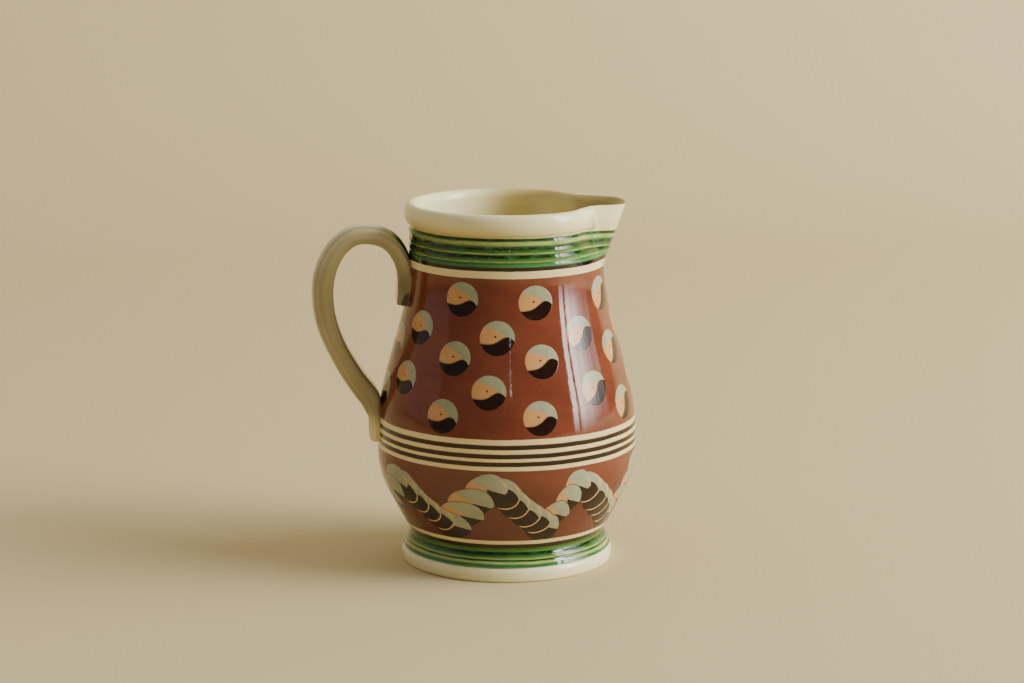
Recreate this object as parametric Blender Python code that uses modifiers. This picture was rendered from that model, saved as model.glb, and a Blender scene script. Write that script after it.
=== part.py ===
# A mochaware pitcher: a turned earthenware body with a rolled rim, a pulled lip and a reeded strap handle,
# fired as one piece. The handle is at -X and the lip at +X, and the origin is on the axis at the resting face.
import math

import bmesh
import bpy

# Driving sizes in metres. Heights are measured up from the resting face, and drops down from the rim's crest.
RIM_HEIGHT = 0.1780            # crest of the rim
RIM_CREST_INSET = 0.0008       # the crest lies this much inside the neck's radius
RIM_OVERHANG = 0.0022          # and the roll's widest ring this much outside it
RIM_BULGE_DROP = 0.0042        # from the crest down to that ring
RIM_TUCK = 0.0062              # from that ring down to the neck
NECK_RADIUS = 0.0478
NECK_DROP = 0.0280             # where the shoulder has drawn in to the neck
BELLY_RADIUS = 0.0640
BELLY_TOP = 0.0640             # where the upright belly starts to draw in
BELLY_BASE = 0.0443            # where the cone of the lower body meets the belly
BELLY_BLEND = 0.0030           # softness of that meeting
WAIST_RADIUS = 0.0480          # narrowest ring, between the body's cone and the foot's
WAIST_RISE = 0.0016            # from the foot's upper reed up to the waist
FOOT_RADIUS = 0.0524
FOOT_HEIGHT = 0.0073           # top of the plain foot, where the reeds begin
FOOT_ROUNDING = 0.0012         # at both edges of the foot
WALL = 0.0044
FLOOR = 0.0070
FLOOR_ROUNDING = 0.0090        # between the floor and the wall, inside

# Reeds are raised rings with grooves between them, as (distance to the middle, width of the crown).
REED_DEPTH = 0.0005
NECK_REEDS = ((0.0030, 0.0022), (0.0074, 0.0014), (0.0107, 0.0026), (0.0136, 0.0011))  # down from the tuck
FOOT_REEDS = ((0.0047, 0.0023), (0.0022, 0.0011))                                      # up from the plain foot

# The lip is pulled out of the rim, and the wall is pinched in on both sides of it.
LIP_REACH = 0.0117             # how far the crest of the rim is pulled out
LIP_DROP = 0.0310              # where the wall starts to lean out
LIP_LEAN = 1.15                # 1 leans out evenly, more keeps the bend near the rim
LIP_HALF_ANGLE = math.radians(19.3)
LIP_SQUARENESS = 3.6
LIP_OUTER_THINNING = 0.60      # share of the roll's bulge lost in the lip, outside
LIP_INNER_THINNING = 0.30      # and inside
LIP_DIP = 0.0008               # the tip is this much lower than the rim
PINCH_DEPTH = 0.0038
PINCH_ANGLE = math.radians(35)
PINCH_SPREAD = math.radians(12)

# The strap stands in the upright plane y = 0, with its lower end on the belly.
STRAP_DROP = 0.0142            # to the top of the strap's middle line
STRAP_END = 0.0598             # height of its lower end
STRAP_OPENING = 0.0363         # widest gap between the body and the strap's inner face
STRAP_THICKNESS = 0.0104
STRAP_WIDTH = 0.0165
# From the end on the neck to the end on the belly, as shares: height between the strap's end and top,
# gap of the widest opening (below zero, depth of the wall that the face is pressed into), thickness, width.
STRAP_STATIONS = (
    (0.648, -0.76, 0.42, 0.91),
    (0.660, -0.79, 0.54, 0.98),
    (0.713, -0.65, 0.63, 1.00),
    (0.795, -0.45, 0.67, 1.00),
    (0.856, -0.25, 0.75, 1.00),
    (0.916, 0.033, 0.83, 1.00),
    (0.979, 0.182, 0.87, 1.00),
    (1.000, 0.457, 0.88, 1.00),
    (0.988, 0.669, 0.88, 1.00),
    (0.922, 0.873, 0.92, 1.00),
    (0.822, 0.991, 0.98, 1.00),
    (0.723, 0.999, 0.99, 1.00),
    (0.587, 0.877, 1.00, 1.00),
    (0.458, 0.635, 0.97, 1.00),
    (0.305, 0.288, 0.98, 1.00),
    (0.211, 0.075, 0.94, 1.00),
    (0.174, 0.006, 0.77, 1.03),
    (0.127, -0.30, 0.51, 1.06),
    (0.069, -0.38, 0.48, 1.06),
    (0.010, -0.39, 0.46, 1.00),
    (0.000, -0.27, 0.35, 0.91),
)
STRAP_REEDS = 5
STRAP_REED_DEPTH = 0.0006
STRAP_CROWN = 0.42             # share of the thickness by which the outer face falls off to its edges
STRAP_CROWN_POWER = 2.2
STRAP_FLAT_STATIONS = 4        # the crown grows over these first stations, which lie against the neck
STRAP_EDGE = 0.0018            # rounding of the inner face's two edges
STRAP_EDGE_SHARE = 0.3         # and at most this share of the thickness

# How finely the curves are cut into straight runs.
SEGMENTS = 60                  # around the body
WALL_RUNS = 11
BODY_RUNS = 15
QUARTER_RUNS = 3
STRAP_RUNS = 3                 # between two stations
MERGE = 0.00001

# Heights that follow from the sizes above.
BULGE_HEIGHT = RIM_HEIGHT - RIM_BULGE_DROP
TUCK_HEIGHT = BULGE_HEIGHT - RIM_TUCK
NECK_HEIGHT = RIM_HEIGHT - NECK_DROP
LIP_ROOT = RIM_HEIGHT - LIP_DROP
WAIST_HEIGHT = FOOT_HEIGHT + FOOT_REEDS[0][0] + FOOT_REEDS[0][1] / 2.0 + WAIST_RISE
CREST_RADIUS = NECK_RADIUS - RIM_CREST_INSET

GLAZE_COLOUR = (0.42, 0.17, 0.11, 1.0)
GLAZE_ROUGHNESS = 0.12


def clear_scene():
    for old in list(bpy.data.objects):
        bpy.data.objects.remove(old, do_unlink=True)


def make_collection(name):
    collection = bpy.data.collections.new(name)
    bpy.context.scene.collection.children.link(collection)
    return collection


def smooth_step(low, high, value):
    share = min(max((value - low) / (high - low), 0.0), 1.0)
    return share * share * (3.0 - 2.0 * share)


def soft_min(first, second, blend):
    overlap = max(blend - abs(first - second), 0.0) / blend
    return min(first, second) - overlap * overlap * blend / 4.0


def body_radius(height):
    """Outer radius between the waist and the rim, without the reeds: a cone, then a bell."""
    rise = (height - WAIST_HEIGHT) / (BELLY_BASE - WAIST_HEIGHT)
    cone = WAIST_RADIUS + (BELLY_RADIUS - WAIST_RADIUS) * rise
    share = min(max((height - BELLY_TOP) / (NECK_HEIGHT - BELLY_TOP), 0.0), 1.0)
    bell = NECK_RADIUS + (BELLY_RADIUS - NECK_RADIUS) * (1.0 + math.cos(math.pi * share)) / 2.0
    return soft_min(cone, bell, BELLY_BLEND)


def foot_radius(height):
    """Outer radius of the flare between the waist and the plain foot."""
    drop = (WAIST_HEIGHT - height) / (WAIST_HEIGHT - FOOT_HEIGHT)
    return WAIST_RADIUS + (FOOT_RADIUS - FOOT_ROUNDING / 2.0 - WAIST_RADIUS) * drop


def quarter(corner, across, up):
    """Points of a quarter ellipse that starts level with its centre and ends straight above or below it."""
    points = []
    for run in range(QUARTER_RUNS + 1):
        angle = math.pi / 2.0 * run / QUARTER_RUNS
        points.append((corner[0] + across * math.cos(angle), corner[1] + up * math.sin(angle)))
    return points


def reeded_band(reeds, radius_at, base):
    """Outline of a band of (height, width) reeds, downwards: flat crowns, and one point for each groove."""
    points = []
    for index, (middle, width) in enumerate(reeds):
        bottom = middle - width / 2.0
        below = base
        if index + 1 < len(reeds):
            below = reeds[index + 1][0] + reeds[index + 1][1] / 2.0
        groove = (bottom + below) / 2.0
        points.append((radius_at(middle + width / 2.0), middle + width / 2.0))
        points.append((radius_at(bottom), bottom))
        points.append((radius_at(groove) - REED_DEPTH, groove))
    return points


def inner_outline():
    """The inside, from the middle of the floor up to just below the crest of the rim."""
    wall_base = FLOOR + FLOOR_ROUNDING
    corner = (body_radius(wall_base) - WALL - FLOOR_ROUNDING, wall_base)
    points = [(0.0, FLOOR)]
    points += quarter(corner, FLOOR_ROUNDING, -FLOOR_ROUNDING)[::-1]
    for run in range(1, WALL_RUNS + 1):
        height = wall_base + (BULGE_HEIGHT - wall_base) * run / WALL_RUNS
        points.append((body_radius(height) - WALL, height))
    bore = points[-1][0]
    roll = quarter((CREST_RADIUS, BULGE_HEIGHT), bore - CREST_RADIUS, RIM_BULGE_DROP)
    return points + roll[1:-1]


def outer_outline():
    """The outside, from the crest of the rim down to the middle of the underside."""
    bulge_radius = NECK_RADIUS + RIM_OVERHANG
    tuck_radius = NECK_RADIUS - REED_DEPTH
    points = quarter((CREST_RADIUS, BULGE_HEIGHT), bulge_radius - CREST_RADIUS, RIM_BULGE_DROP)[::-1]
    points += quarter((tuck_radius, BULGE_HEIGHT), bulge_radius - tuck_radius, -RIM_TUCK)[1:]
    neck_reeds = [(TUCK_HEIGHT - drop, width) for drop, width in NECK_REEDS]
    foot_reeds = [(FOOT_HEIGHT + rise, width) for rise, width in FOOT_REEDS]
    band_base = neck_reeds[-1][0] - neck_reeds[-1][1]
    points += reeded_band(neck_reeds, body_radius, band_base)[:-1]
    for run in range(BODY_RUNS):
        height = band_base + (WAIST_HEIGHT - band_base) * run / BODY_RUNS
        points.append((body_radius(height), height))
    points += reeded_band(foot_reeds, foot_radius, FOOT_HEIGHT)
    points.append((foot_radius(FOOT_HEIGHT), FOOT_HEIGHT))
    points.append((FOOT_RADIUS, FOOT_HEIGHT - FOOT_ROUNDING))
    points.append((FOOT_RADIUS, FOOT_ROUNDING))
    points.append((FOOT_RADIUS - FOOT_ROUNDING, 0.0))
    points.append((0.0, 0.0))
    return points


def turned_mesh(name, outline):
    """Turns an outline of (radius, height) about the Z axis."""
    mesh = bpy.data.meshes.new(name + "_outline")
    edges = [(index, index + 1) for index in range(len(outline) - 1)]
    mesh.from_pydata([(radius, 0.0, height) for radius, height in outline], edges, [])
    turned = bpy.data.objects.new(name + "_turned", mesh)
    bpy.context.scene.collection.objects.link(turned)
    screw = turned.modifiers.new("Turning", "SCREW")
    screw.axis = "Z"
    screw.angle = 2.0 * math.pi
    screw.steps = SEGMENTS
    screw.render_steps = SEGMENTS
    screw.use_merge_vertices = True
    screw.merge_threshold = MERGE
    depsgraph = bpy.context.evaluated_depsgraph_get()
    result = bpy.data.meshes.new_from_object(turned.evaluated_get(depsgraph))
    bpy.data.objects.remove(turned, do_unlink=True)
    return result


def pull_lip(mesh):
    """Thins, pulls out and pinches the wall near +X, inside and outside together."""
    for vertex in mesh.vertices:
        x, y, height = vertex.co
        if height <= LIP_ROOT:
            continue
        radius = math.hypot(x, y)
        angle = math.atan2(y, x)
        rise = (height - LIP_ROOT) / (RIM_HEIGHT - LIP_ROOT)
        share = math.exp(-(abs(angle) / LIP_HALF_ANGLE) ** LIP_SQUARENESS)
        lift = smooth_step(LIP_ROOT, TUCK_HEIGHT, height)
        thinning = share * lift * (LIP_OUTER_THINNING if radius > CREST_RADIUS else LIP_INNER_THINNING)
        beside = (abs(angle) - PINCH_ANGLE) / PINCH_SPREAD
        pinch = PINCH_DEPTH * lift * math.exp(-beside * beside / 2.0)
        pulled = CREST_RADIUS + (radius - CREST_RADIUS) * (1.0 - thinning)
        pulled += LIP_REACH * share * rise ** LIP_LEAN - pinch
        vertex.co = (pulled * math.cos(angle), pulled * math.sin(angle), height - LIP_DIP * share * rise)


def strap_stations():
    """The strap's middle line as (distance from the axis, height, thickness, width), set off from the body."""
    stations = []
    for rise, gap, thickness, width in STRAP_STATIONS:
        height = STRAP_END + (RIM_HEIGHT - STRAP_DROP - STRAP_END) * rise
        face = body_radius(height) + gap * (STRAP_OPENING if gap > 0.0 else WALL)
        thickness *= STRAP_THICKNESS
        stations.append((face + thickness / 2.0, height, thickness, width * STRAP_WIDTH))
    return stations


def smooth_path(stations, runs):
    """Catmull-Rom curve through the stations, whatever number of values each one has."""
    ended = [stations[0]] + stations + [stations[-1]]
    path = []
    for index in range(1, len(ended) - 2):
        before, start, end, after = ended[index - 1:index + 3]
        for run in range(runs):
            t = run / runs
            path.append(tuple(
                b + 0.5 * t * (c - a + t * (2.0 * a - 5.0 * b + 4.0 * c - d + t * (3.0 * (b - c) + d - a)))
                for a, b, c, d in zip(before, start, end, after)))
    path.append(stations[-1])
    return path


def strap_section(thickness, width, crown):
    """Closed outline of the strap, as (across, outwards): a reeded crowned face and a flat inner face."""
    points = []
    for index in range(2 * STRAP_REEDS + 1):
        across = index / STRAP_REEDS - 1.0
        outwards = thickness / 2.0 - crown * thickness * abs(across) ** STRAP_CROWN_POWER
        if index % 2 == 0:
            outwards -= min(STRAP_REED_DEPTH, thickness / 8.0)
        points.append((across * width / 2.0, outwards))
    edge = min(STRAP_EDGE, STRAP_EDGE_SHARE * thickness)
    corner = quarter((width / 2.0 - edge, edge - thickness / 2.0), edge, -edge)
    points += corner
    points += [(-across, outwards) for across, outwards in reversed(corner)]
    return points


def strap_mesh(name):
    """Lofts the strap's section along its middle line, in the plane y = 0 at -X."""
    path = smooth_path(strap_stations(), STRAP_RUNS)
    grow = STRAP_FLAT_STATIONS * STRAP_RUNS
    bm = bmesh.new()
    rings = []
    for index, (reach, height, thickness, width) in enumerate(path):
        before = path[max(index - 1, 0)]
        after = path[min(index + 1, len(path) - 1)]
        run = math.hypot(after[0] - before[0], after[1] - before[1])
        out_reach = -(after[1] - before[1]) / run
        out_height = (after[0] - before[0]) / run
        crown = STRAP_CROWN * smooth_step(grow / 3.0, 2.0 * grow, index)
        ring = []
        for across, outwards in strap_section(thickness, width, crown):
            distance = reach + outwards * out_reach
            ring.append(bm.verts.new((-distance, across, height + outwards * out_height)))
        rings.append(ring)
    for lower, upper in zip(rings, rings[1:]):
        for index in range(len(lower)):
            following = (index + 1) % len(lower)
            bm.faces.new((lower[index], lower[following], upper[following], upper[index]))
    bm.faces.new(rings[0])
    bm.faces.new(rings[-1])
    bmesh.ops.recalc_face_normals(bm, faces=bm.faces)
    mesh = bpy.data.meshes.new(name)
    bm.to_mesh(mesh)
    bm.free()
    return mesh


def make_glaze():
    material = bpy.data.materials.new("glazed_slip")
    material.use_nodes = True
    shader = material.node_tree.nodes["Principled BSDF"]
    shader.inputs["Base Color"].default_value = GLAZE_COLOUR
    shader.inputs["Roughness"].default_value = GLAZE_ROUGHNESS
    shader.inputs["Metallic"].default_value = 0.0
    return material


def make_pitcher(parts, guides):
    mesh = turned_mesh("pitcher", inner_outline() + outer_outline())
    pull_lip(mesh)
    mesh.name = "pitcher"
    mesh.materials.append(make_glaze())
    mesh.shade_smooth()
    mesh.set_sharp_from_angle(angle=math.radians(50))
    pitcher = bpy.data.objects.new("pitcher", mesh)
    parts.objects.link(pitcher)
    strap = bpy.data.objects.new("strap_handle", strap_mesh("strap_handle"))
    guides.objects.link(strap)
    strap.hide_render = True
    strap.display_type = "WIRE"
    union = pitcher.modifiers.new("Luted handle", "BOOLEAN")
    union.operation = "UNION"
    union.solver = "EXACT"
    union.object = strap
    return pitcher


def main():
    clear_scene()
    parts = make_collection("mochaware_pitcher")
    guides = make_collection("guides")
    make_pitcher(parts, guides)


main()
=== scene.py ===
import math
from types import SimpleNamespace

import bmesh
import bpy
import numpy as np
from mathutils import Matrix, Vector
from mathutils.kdtree import KDTree


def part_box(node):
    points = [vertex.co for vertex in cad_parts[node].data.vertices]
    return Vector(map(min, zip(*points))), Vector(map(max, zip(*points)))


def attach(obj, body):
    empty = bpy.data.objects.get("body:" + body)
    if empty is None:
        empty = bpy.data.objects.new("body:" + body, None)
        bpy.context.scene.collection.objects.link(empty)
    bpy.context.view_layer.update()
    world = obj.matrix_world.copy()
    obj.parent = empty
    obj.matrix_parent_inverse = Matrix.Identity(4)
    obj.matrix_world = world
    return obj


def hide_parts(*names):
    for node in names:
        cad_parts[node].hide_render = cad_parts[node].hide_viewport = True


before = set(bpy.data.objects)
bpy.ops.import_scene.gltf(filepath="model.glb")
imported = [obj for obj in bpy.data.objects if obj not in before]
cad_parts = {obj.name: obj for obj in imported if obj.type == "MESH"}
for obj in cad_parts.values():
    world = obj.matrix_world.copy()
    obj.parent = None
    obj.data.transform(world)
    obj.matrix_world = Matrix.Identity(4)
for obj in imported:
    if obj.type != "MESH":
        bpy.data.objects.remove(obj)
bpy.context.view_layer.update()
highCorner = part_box("pitcher")[1]

# The thrown body, in metres. It repeats the turned profile of the solid, cut much finer.
body = dict(
    rimHeight=highCorner.z, bellyRadius=highCorner.y - 0.00004,   # just inside the solid
    crestInset=0.0008, rimOverhang=0.0022, bulgeDrop=0.0042, rimTuck=0.0062, tuckInset=0.0003,
    neckRadius=0.0478, neckDrop=0.0280,
    bellyTop=0.0640, bellyBase=0.0443, bellyBlend=0.0060,
    waistRadius=0.0480, waistHeight=0.01475, shoulderInset=0.0006,
    footRadius=0.0524, footHeight=0.0073, footRounding=0.0014, footShoulder=(0.0021, 0.0036),
    wall=0.0044, floor=0.0070, floorRounding=0.0090,
    neckGrooves=((0.1665, 0.0008), (0.1622, 0.0012), (0.1588, 0.0010), (0.1552, 0.0007)),   # height, half width
    footGrooves=((0.0104, 0.0006), (0.0137, 0.0007)),
    grooveDepth=0.0004,
    reedStep=0.00038, reedsEnd=0.1515,   # heights of one row of faces after the other
    bellSteps=((0.1505, 0.0740, 0.0017), (0.0735, 0.0158, 0.0013)),   # from, down to, step
    columns=320, lipCloser=0.45,
    outsideDepth=0.0022, insideFrom=0.173, footTop=0.0069,   # tell the outside's glaze from the inside's
)

# The lip, pulled out of the rim and pinched on both sides.
lip = dict(
    reach=0.0117, drop=0.0310, lean=1.15, halfAngle=19.3, squareness=3.6,
    outerThinning=0.95, innerThinning=0.50, dip=0.0008,
    rollEnd=(25.5, 30.5), rollSlant=4.5,   # degrees from the lip's middle, over which the roll dies away
    valley=0.0009, valleyAngle=25.5, valleySpread=2.8, ridge=0.0013, ridgeAngle=30.8, ridgeSpread=2.9,
    foldFrom=-0.0020, foldTo=0.0035,   # heights over the rim's tuck between which the folds rise
    levelled=0.85, levelFrom=-4.0, levelTo=12.0,   # the far side dips less
    sag=0.0022, sagSpread=30.0,   # how far the reeds are drawn down under the lip
    sagRise=(0.152, 0.160), sagFall=(0.1675, 0.1765), sagDepth=0.002,
    pinchDepth=0.0038, pinchAngle=35.0, pinchSpread=12.0,
)

# The strap, as shares: height, gap (below zero, depth in the wall), thickness, width.
strap = dict(
    drop=0.0142, end=0.0598, opening=0.0363, thickness=0.0104, width=0.0165,
    crown=0.40, crownPower=2.2, flatStations=4, edge=0.0018, edgeShare=0.3,
    reeds=5, reedDepth=0.0008, smoothing=30, runs=9, across=30, corner=6,
    sheenLine=(0.34, 0.50),   # painted highlight along the middle of the outer face, as a share of half the width
    stations=(
        (0.662, -0.55, 0.62, 1.06), (0.672, -0.62, 0.69, 1.12), (0.713, -0.60, 0.71, 1.12),
        (0.795, -0.45, 0.73, 1.06), (0.856, -0.25, 0.78, 1.02), (0.916, 0.033, 0.84, 1.00),
        (0.979, 0.182, 0.87, 1.00), (1.000, 0.457, 0.88, 1.00), (0.988, 0.669, 0.88, 1.00),
        (0.922, 0.873, 0.92, 1.00), (0.822, 0.991, 0.98, 1.00), (0.723, 0.999, 0.99, 1.00),
        (0.587, 0.877, 1.00, 1.00), (0.458, 0.635, 0.97, 1.00), (0.305, 0.262, 1.02, 1.00),
        (0.222, 0.010, 1.06, 1.02), (0.176, -0.10, 0.86, 1.06), (0.127, -0.30, 0.62, 1.10),
        (0.069, -0.38, 0.59, 1.10), (0.024, -0.39, 0.56, 1.06), (0.012, -0.36, 0.50, 1.00),
    ),
)


def show(name, data):
    holder = bpy.data.objects.new(name, data)
    bpy.context.scene.collection.objects.link(holder)
    return holder


def newMesh(name, places, faces):
    mesh = bpy.data.meshes.new(name)
    mesh.from_pydata(places, [], faces)
    mesh.update()
    return mesh


def smoothStep(low, high, value):
    share = np.clip((value - low) / (high - low), 0.0, 1.0)
    return share * share * (3.0 - 2.0 * share)


def bodyRadius(height):
    rise = (height - body["waistHeight"]) / (body["bellyBase"] - body["waistHeight"])
    cone = body["waistRadius"] + (body["bellyRadius"] - body["waistRadius"]) * rise
    neckHeight = body["rimHeight"] - body["neckDrop"]
    share = np.clip((height - body["bellyTop"]) / (neckHeight - body["bellyTop"]), 0.0, 1.0)
    swell = (1.0 + np.cos(math.pi * share)) / 2.0
    bell = body["neckRadius"] + (body["bellyRadius"] - body["neckRadius"]) * swell
    overlap = np.maximum(body["bellyBlend"] - np.abs(cone - bell), 0.0) / body["bellyBlend"]
    return np.minimum(cone, bell) - overlap * overlap * body["bellyBlend"] / 4.0


def footFlare(height):
    drop = (body["waistHeight"] - height) / (body["waistHeight"] - body["footHeight"])
    return body["waistRadius"] + (body["footRadius"] - body["shoulderInset"] - body["waistRadius"]) * drop


# Turned grooves leave the reeds between them standing.
def grooveRelief(height, grooves):
    relief = np.zeros_like(height)
    for middle, half in grooves:
        relief += body["grooveDepth"] * np.exp(-((height - middle) / half) ** 2)
    return relief


def quarter(corner, across, up, runs):
    angle = np.linspace(0.0, math.pi / 2.0, runs + 1)
    return np.column_stack((corner[0] + across * np.cos(angle), corner[1] + up * np.sin(angle)))


# The whole section, from the middle of the inside floor over the rim to the middle of the underside.
def bodyOutline():
    bulgeHeight = body["rimHeight"] - body["bulgeDrop"]
    tuckHeight = bulgeHeight - body["rimTuck"]
    crest = body["neckRadius"] - body["crestInset"]
    bulge = body["neckRadius"] + body["rimOverhang"]
    wallBase = body["floor"] + body["floorRounding"]
    cornerRadius = float(bodyRadius(wallBase)) - body["wall"] - body["floorRounding"]
    floorLine = np.column_stack((np.linspace(0.0, cornerRadius, 8)[:-1], np.full(7, body["floor"])))
    bend = quarter((cornerRadius, wallBase), body["floorRounding"], -body["floorRounding"], 8)[::-1]
    wallHeights = np.linspace(wallBase, bulgeHeight, 36)[1:]
    wallLine = np.column_stack((bodyRadius(wallHeights) - body["wall"], wallHeights))
    innerRoll = quarter((crest, bulgeHeight), wallLine[-1, 0] - crest, body["bulgeDrop"], 10)[1:-1]
    inside = np.concatenate((floorLine, bend, wallLine, innerRoll))

    outerRoll = quarter((crest, bulgeHeight), bulge - crest, body["bulgeDrop"], 10)[::-1]
    tuckRadius = body["neckRadius"] - body["tuckInset"]
    under = quarter((tuckRadius, bulgeHeight), bulge - tuckRadius, -body["rimTuck"], 10)[1:]
    neckHeights = np.arange(tuckHeight - body["tuckInset"], body["reedsEnd"], -body["reedStep"])
    neckRadii = bodyRadius(neckHeights) - grooveRelief(neckHeights, body["neckGrooves"])
    neckLine = np.column_stack((neckRadii, neckHeights))
    bellHeights = np.concatenate([np.arange(high, low, -step) for high, low, step in body["bellSteps"]])
    bellLine = np.column_stack((bodyRadius(bellHeights), bellHeights))
    flareHeights = np.arange(body["waistHeight"], body["footHeight"] - 0.0001, -body["reedStep"])
    flareRadii = footFlare(flareHeights) - grooveRelief(flareHeights, body["footGrooves"])
    flareLine = np.column_stack((flareRadii, flareHeights))
    rounding = body["footRounding"]
    across, down = body["footShoulder"]
    shoulder = quarter((body["footRadius"] - across, body["footHeight"] - down), across, down, 8)[::-1]
    heel = quarter((body["footRadius"] - rounding, rounding), rounding, -rounding, 5)
    plainHeights = np.linspace(shoulder[-1, 1], rounding, 5)[1:-1]
    plainFoot = np.column_stack((np.full(3, body["footRadius"]), plainHeights))
    underside = np.column_stack((np.linspace(heel[-1, 0], 0.0, 7)[1:], np.zeros(6)))
    outside = (outerRoll, under, neckLine, bellLine, flareLine, shoulder, plainFoot, heel, underside)
    return np.concatenate((inside,) + outside)


def turnedMesh(name, outline):
    columns = body["columns"]
    angle = np.arange(columns) * 2.0 * math.pi / columns
    angle = angle - body["lipCloser"] * np.sin(angle)
    rings = outline[1:-1]
    places = np.stack((
        np.outer(rings[:, 0], np.cos(angle)), np.outer(rings[:, 0], np.sin(angle)),
        np.repeat(rings[:, 1:2], columns, axis=1)), axis=2).reshape(-1, 3)
    ends = np.array([(0.0, 0.0, outline[0, 1]), (0.0, 0.0, outline[-1, 1])])
    places = np.concatenate((places, ends))
    row, column = np.meshgrid(np.arange(len(rings) - 1), np.arange(columns), indexing="ij")
    following = (column + 1) % columns
    faces = np.stack((
        row * columns + column, row * columns + following,
        (row + 1) * columns + following, (row + 1) * columns + column), axis=2).reshape(-1, 4).tolist()
    top, bottom, last = len(places) - 2, len(places) - 1, (len(rings) - 1) * columns
    for index in range(columns):
        faces.append((top, (index + 1) % columns, index))
        faces.append((bottom, last + index, last + (index + 1) % columns))
    return newMesh(name, places.tolist(), faces)


# Moves the wall near +X for the lip. Takes and gives an array of places.
def pullLip(places):
    crest = body["neckRadius"] - body["crestInset"]
    tuckHeight = body["rimHeight"] - body["bulgeDrop"] - body["rimTuck"]
    lipRoot = body["rimHeight"] - lip["drop"]
    height = places[:, 2]
    radius = np.hypot(places[:, 0], places[:, 1])
    angle = np.degrees(np.arctan2(places[:, 1], places[:, 0]))
    rise = np.clip((height - lipRoot) / lip["drop"], 0.0, 1.0)
    lift = smoothStep(lipRoot, tuckHeight, height)
    share = np.exp(-(np.abs(angle) / lip["halfAngle"]) ** lip["squareness"])
    slant = lip["rollSlant"] * (2.0 * smoothStep(tuckHeight, body["rimHeight"], height) - 1.0) / 2.0
    away = np.abs(angle) - slant
    rollShare = 1.0 - smoothStep(*lip["rollEnd"], away)
    thinning = lift * np.where(radius > crest, rollShare * lip["outerThinning"], share * lip["innerThinning"])
    beside = (np.abs(angle) - lip["pinchAngle"]) / lip["pinchSpread"]
    pinch = lip["pinchDepth"] * lift * np.exp(-beside * beside / 2.0)
    pulled = crest + (radius - crest) * (1.0 - thinning) + lip["reach"] * share * rise ** lip["lean"] - pinch
    valley = lip["valley"] * np.exp(-((away - lip["valleyAngle"]) / lip["valleySpread"]) ** 2)
    ridge = lip["ridge"] * np.exp(-((away - lip["ridgeAngle"]) / lip["ridgeSpread"]) ** 2)
    rimLift = smoothStep(tuckHeight + lip["foldFrom"], tuckHeight + lip["foldTo"], height)
    pulled += np.where(radius > crest, (ridge - valley) * rimLift, 0.0)
    moved = height > lipRoot
    factor = np.where(moved, pulled / np.maximum(radius, 1e-6), 1.0)
    result = places.copy()
    result[:, 0] *= factor
    result[:, 1] *= factor
    level = 1.0 - lip["levelled"] * smoothStep(lip["levelFrom"], lip["levelTo"], angle)
    result[:, 2] -= np.where(moved, lip["dip"] * share * rise * level, 0.0)
    sag = smoothStep(*lip["sagRise"], height) * (1.0 - smoothStep(*lip["sagFall"], height))
    sag = sag * np.exp(-(angle / lip["sagSpread"]) ** 2)
    result[:, 2] -= np.where(moved & (radius > crest - lip["sagDepth"]), lip["sag"] * sag, 0.0)
    return result


def strapPath():
    stations = []
    top = body["rimHeight"] - strap["drop"]
    for rise, gap, thickness, width in strap["stations"]:
        height = strap["end"] + (top - strap["end"]) * rise
        face = float(bodyRadius(height)) + gap * (strap["opening"] if gap > 0.0 else body["wall"])
        thick = thickness * strap["thickness"]
        stations.append((face + thick / 2.0, height, thick, width * strap["width"]))
    ended = np.array([stations[0]] + stations + [stations[-1]])
    path = []
    for index in range(1, len(ended) - 2):
        before, start, end, after = ended[index - 1:index + 3]
        for run in range(strap["runs"]):
            t = run / strap["runs"]
            path.append(start + 0.5 * t * (end - before + t * (
                2.0 * before - 5.0 * start + 4.0 * end - after + t * (3.0 * (start - end) + after - before))))
    path.append(ended[-1])
    path = np.array(path)
    for turn in range(strap["smoothing"]):
        path[1:-1, :2] = path[1:-1, :2] * 0.5 + (path[:-2, :2] + path[2:, :2]) * 0.25
    return path


def strapSection(thickness, width, crown):
    across = np.linspace(-1.0, 1.0, strap["across"] + 1)
    outwards = thickness / 2.0 - crown * thickness * np.abs(across) ** strap["crownPower"]
    reed = 0.5 + 0.5 * np.cos(math.pi * strap["reeds"] * (across + 1.0))
    outwards -= min(strap["reedDepth"], thickness / 10.0) * reed
    face = np.column_stack((across * width / 2.0, outwards))
    edge = min(strap["edge"], strap["edgeShare"] * thickness)
    corner = quarter((width / 2.0 - edge, edge - thickness / 2.0), edge, -edge, strap["corner"])
    mirrored = corner[::-1] * (-1.0, 1.0)
    return np.concatenate((face, corner, mirrored))


def strapMesh(name):
    path = strapPath()
    grow = strap["flatStations"] * strap["runs"]
    rings = []
    for index, (reach, height, thickness, width) in enumerate(path):
        step = path[min(index + 1, len(path) - 1)] - path[max(index - 1, 0)]
        step = step[:2] / np.hypot(*step[:2])
        crown = strap["crown"] * smoothStep(grow / 3.0, 2.0 * grow, index)
        section = strapSection(thickness, width, crown)
        rings.append(np.column_stack((
            -(reach - section[:, 1] * step[1]), section[:, 0], height + section[:, 1] * step[0])))
    count = len(rings[0])
    places = np.concatenate(rings)
    faces = []
    for ring in range(len(rings) - 1):
        for index in range(count):
            following = (index + 1) % count
            faces.append((ring * count + index, ring * count + following,
                          (ring + 1) * count + following, (ring + 1) * count + index))
    faces.append(tuple(range(count)))
    faces.append(tuple(reversed(range((len(rings) - 1) * count, len(rings) * count))))
    mesh = newMesh(name, places.tolist(), faces)
    bm = bmesh.new()
    bm.from_mesh(mesh)
    bmesh.ops.recalc_face_normals(bm, faces=bm.faces)
    bm.to_mesh(mesh)
    bm.free()
    return mesh


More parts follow.
